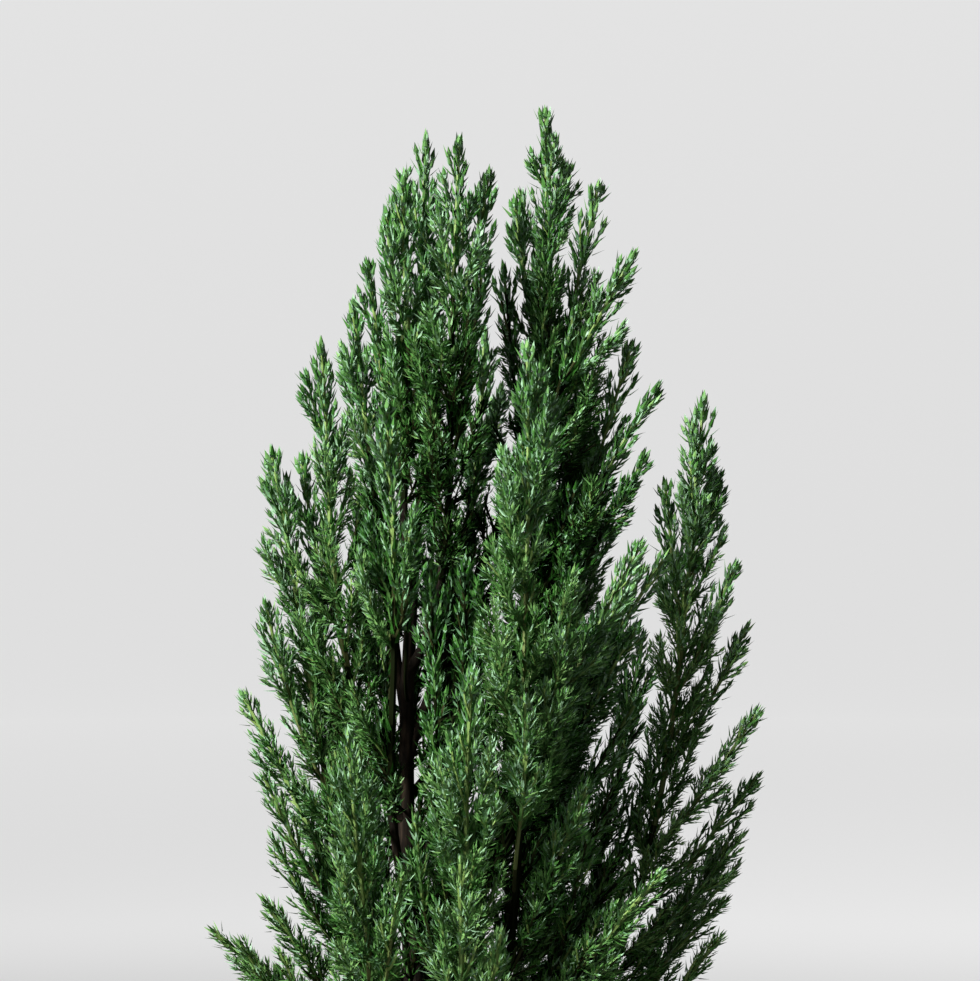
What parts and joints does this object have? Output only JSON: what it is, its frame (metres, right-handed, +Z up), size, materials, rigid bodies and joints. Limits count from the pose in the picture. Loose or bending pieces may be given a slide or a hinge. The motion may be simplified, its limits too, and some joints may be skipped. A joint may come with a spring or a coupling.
{
  "type": "potted cypress",
  "caption": "Small upright evergreen cypress with a feathery pointed crown of several leaders, growing in a plain tapered clay pot.",
  "frame": {"origin": "centre of the pot's flat underside, on the floor it stands on", "axes": "+Z up the plant, -Y towards the front, which is the side the picture shows, +X to its right"},
  "size_m": [0.1951, 0.1726, 0.4993],
  "materials": {
    "clay": "matte",
    "compost": "matte",
    "bark": "matte",
    "bough": "matte",
    "foliage": "satin"
  },
  "bodies": {
    "root": {"pot": "clay", "compost": "compost", "trunk": "bark", "foliage_top": "foliage", "bough_right_outer": "bough", "foliage_right_outer": "foliage", "bough_low_left": "bough", "foliage_low_left": "foliage", "bough_low_right": "bough", "foliage_low_right": "foliage", "bough_low_front": "bough", "foliage_low_front": "foliage", "bough_front": "bough", "foliage_front": "foliage", "bough_left_outer": "bough", "foliage_left_outer": "foliage", "bough_right_top": "bough", "foliage_right_top": "foliage", "bough_front_left_low": "bough", "foliage_front_left_low": "foliage", "bough_front_middle": "bough", "foliage_front_middle": "foliage", "bough_left_edge": "bough", "foliage_left_edge": "foliage", "bough_right_low": "bough", "foliage_right_low": "foliage", "bough_right_base": "bough", "foliage_right_base": "foliage", "bough_right_inner": "bough", "foliage_right_inner": "foliage", "bough_right_middle": "bough", "foliage_right_middle": "foliage", "bough_right_high": "bough", "foliage_right_high": "foliage", "bough_front_left": "bough", "foliage_front_left": "foliage", "bough_left_middle": "bough", "foliage_left_middle": "foliage", "bough_left_back": "bough", "foliage_left_back": "foliage", "bough_top_front": "bough", "foliage_top_front": "foliage", "bough_top_left": "bough", "foliage_top_left": "foliage", "bough_back_low_left": "bough", "foliage_back_low_left": "foliage", "bough_back_low_right": "bough", "foliage_back_low_right": "foliage", "bough_back": "bough", "foliage_back": "foliage", "bough_back_left": "bough", "foliage_back_left": "foliage", "bough_back_right": "bough", "foliage_back_right": "foliage", "bough_back_high": "bough", "foliage_back_high": "foliage", "bough_back_middle": "bough", "foliage_back_middle": "foliage"}
  },
  "joints": []
}
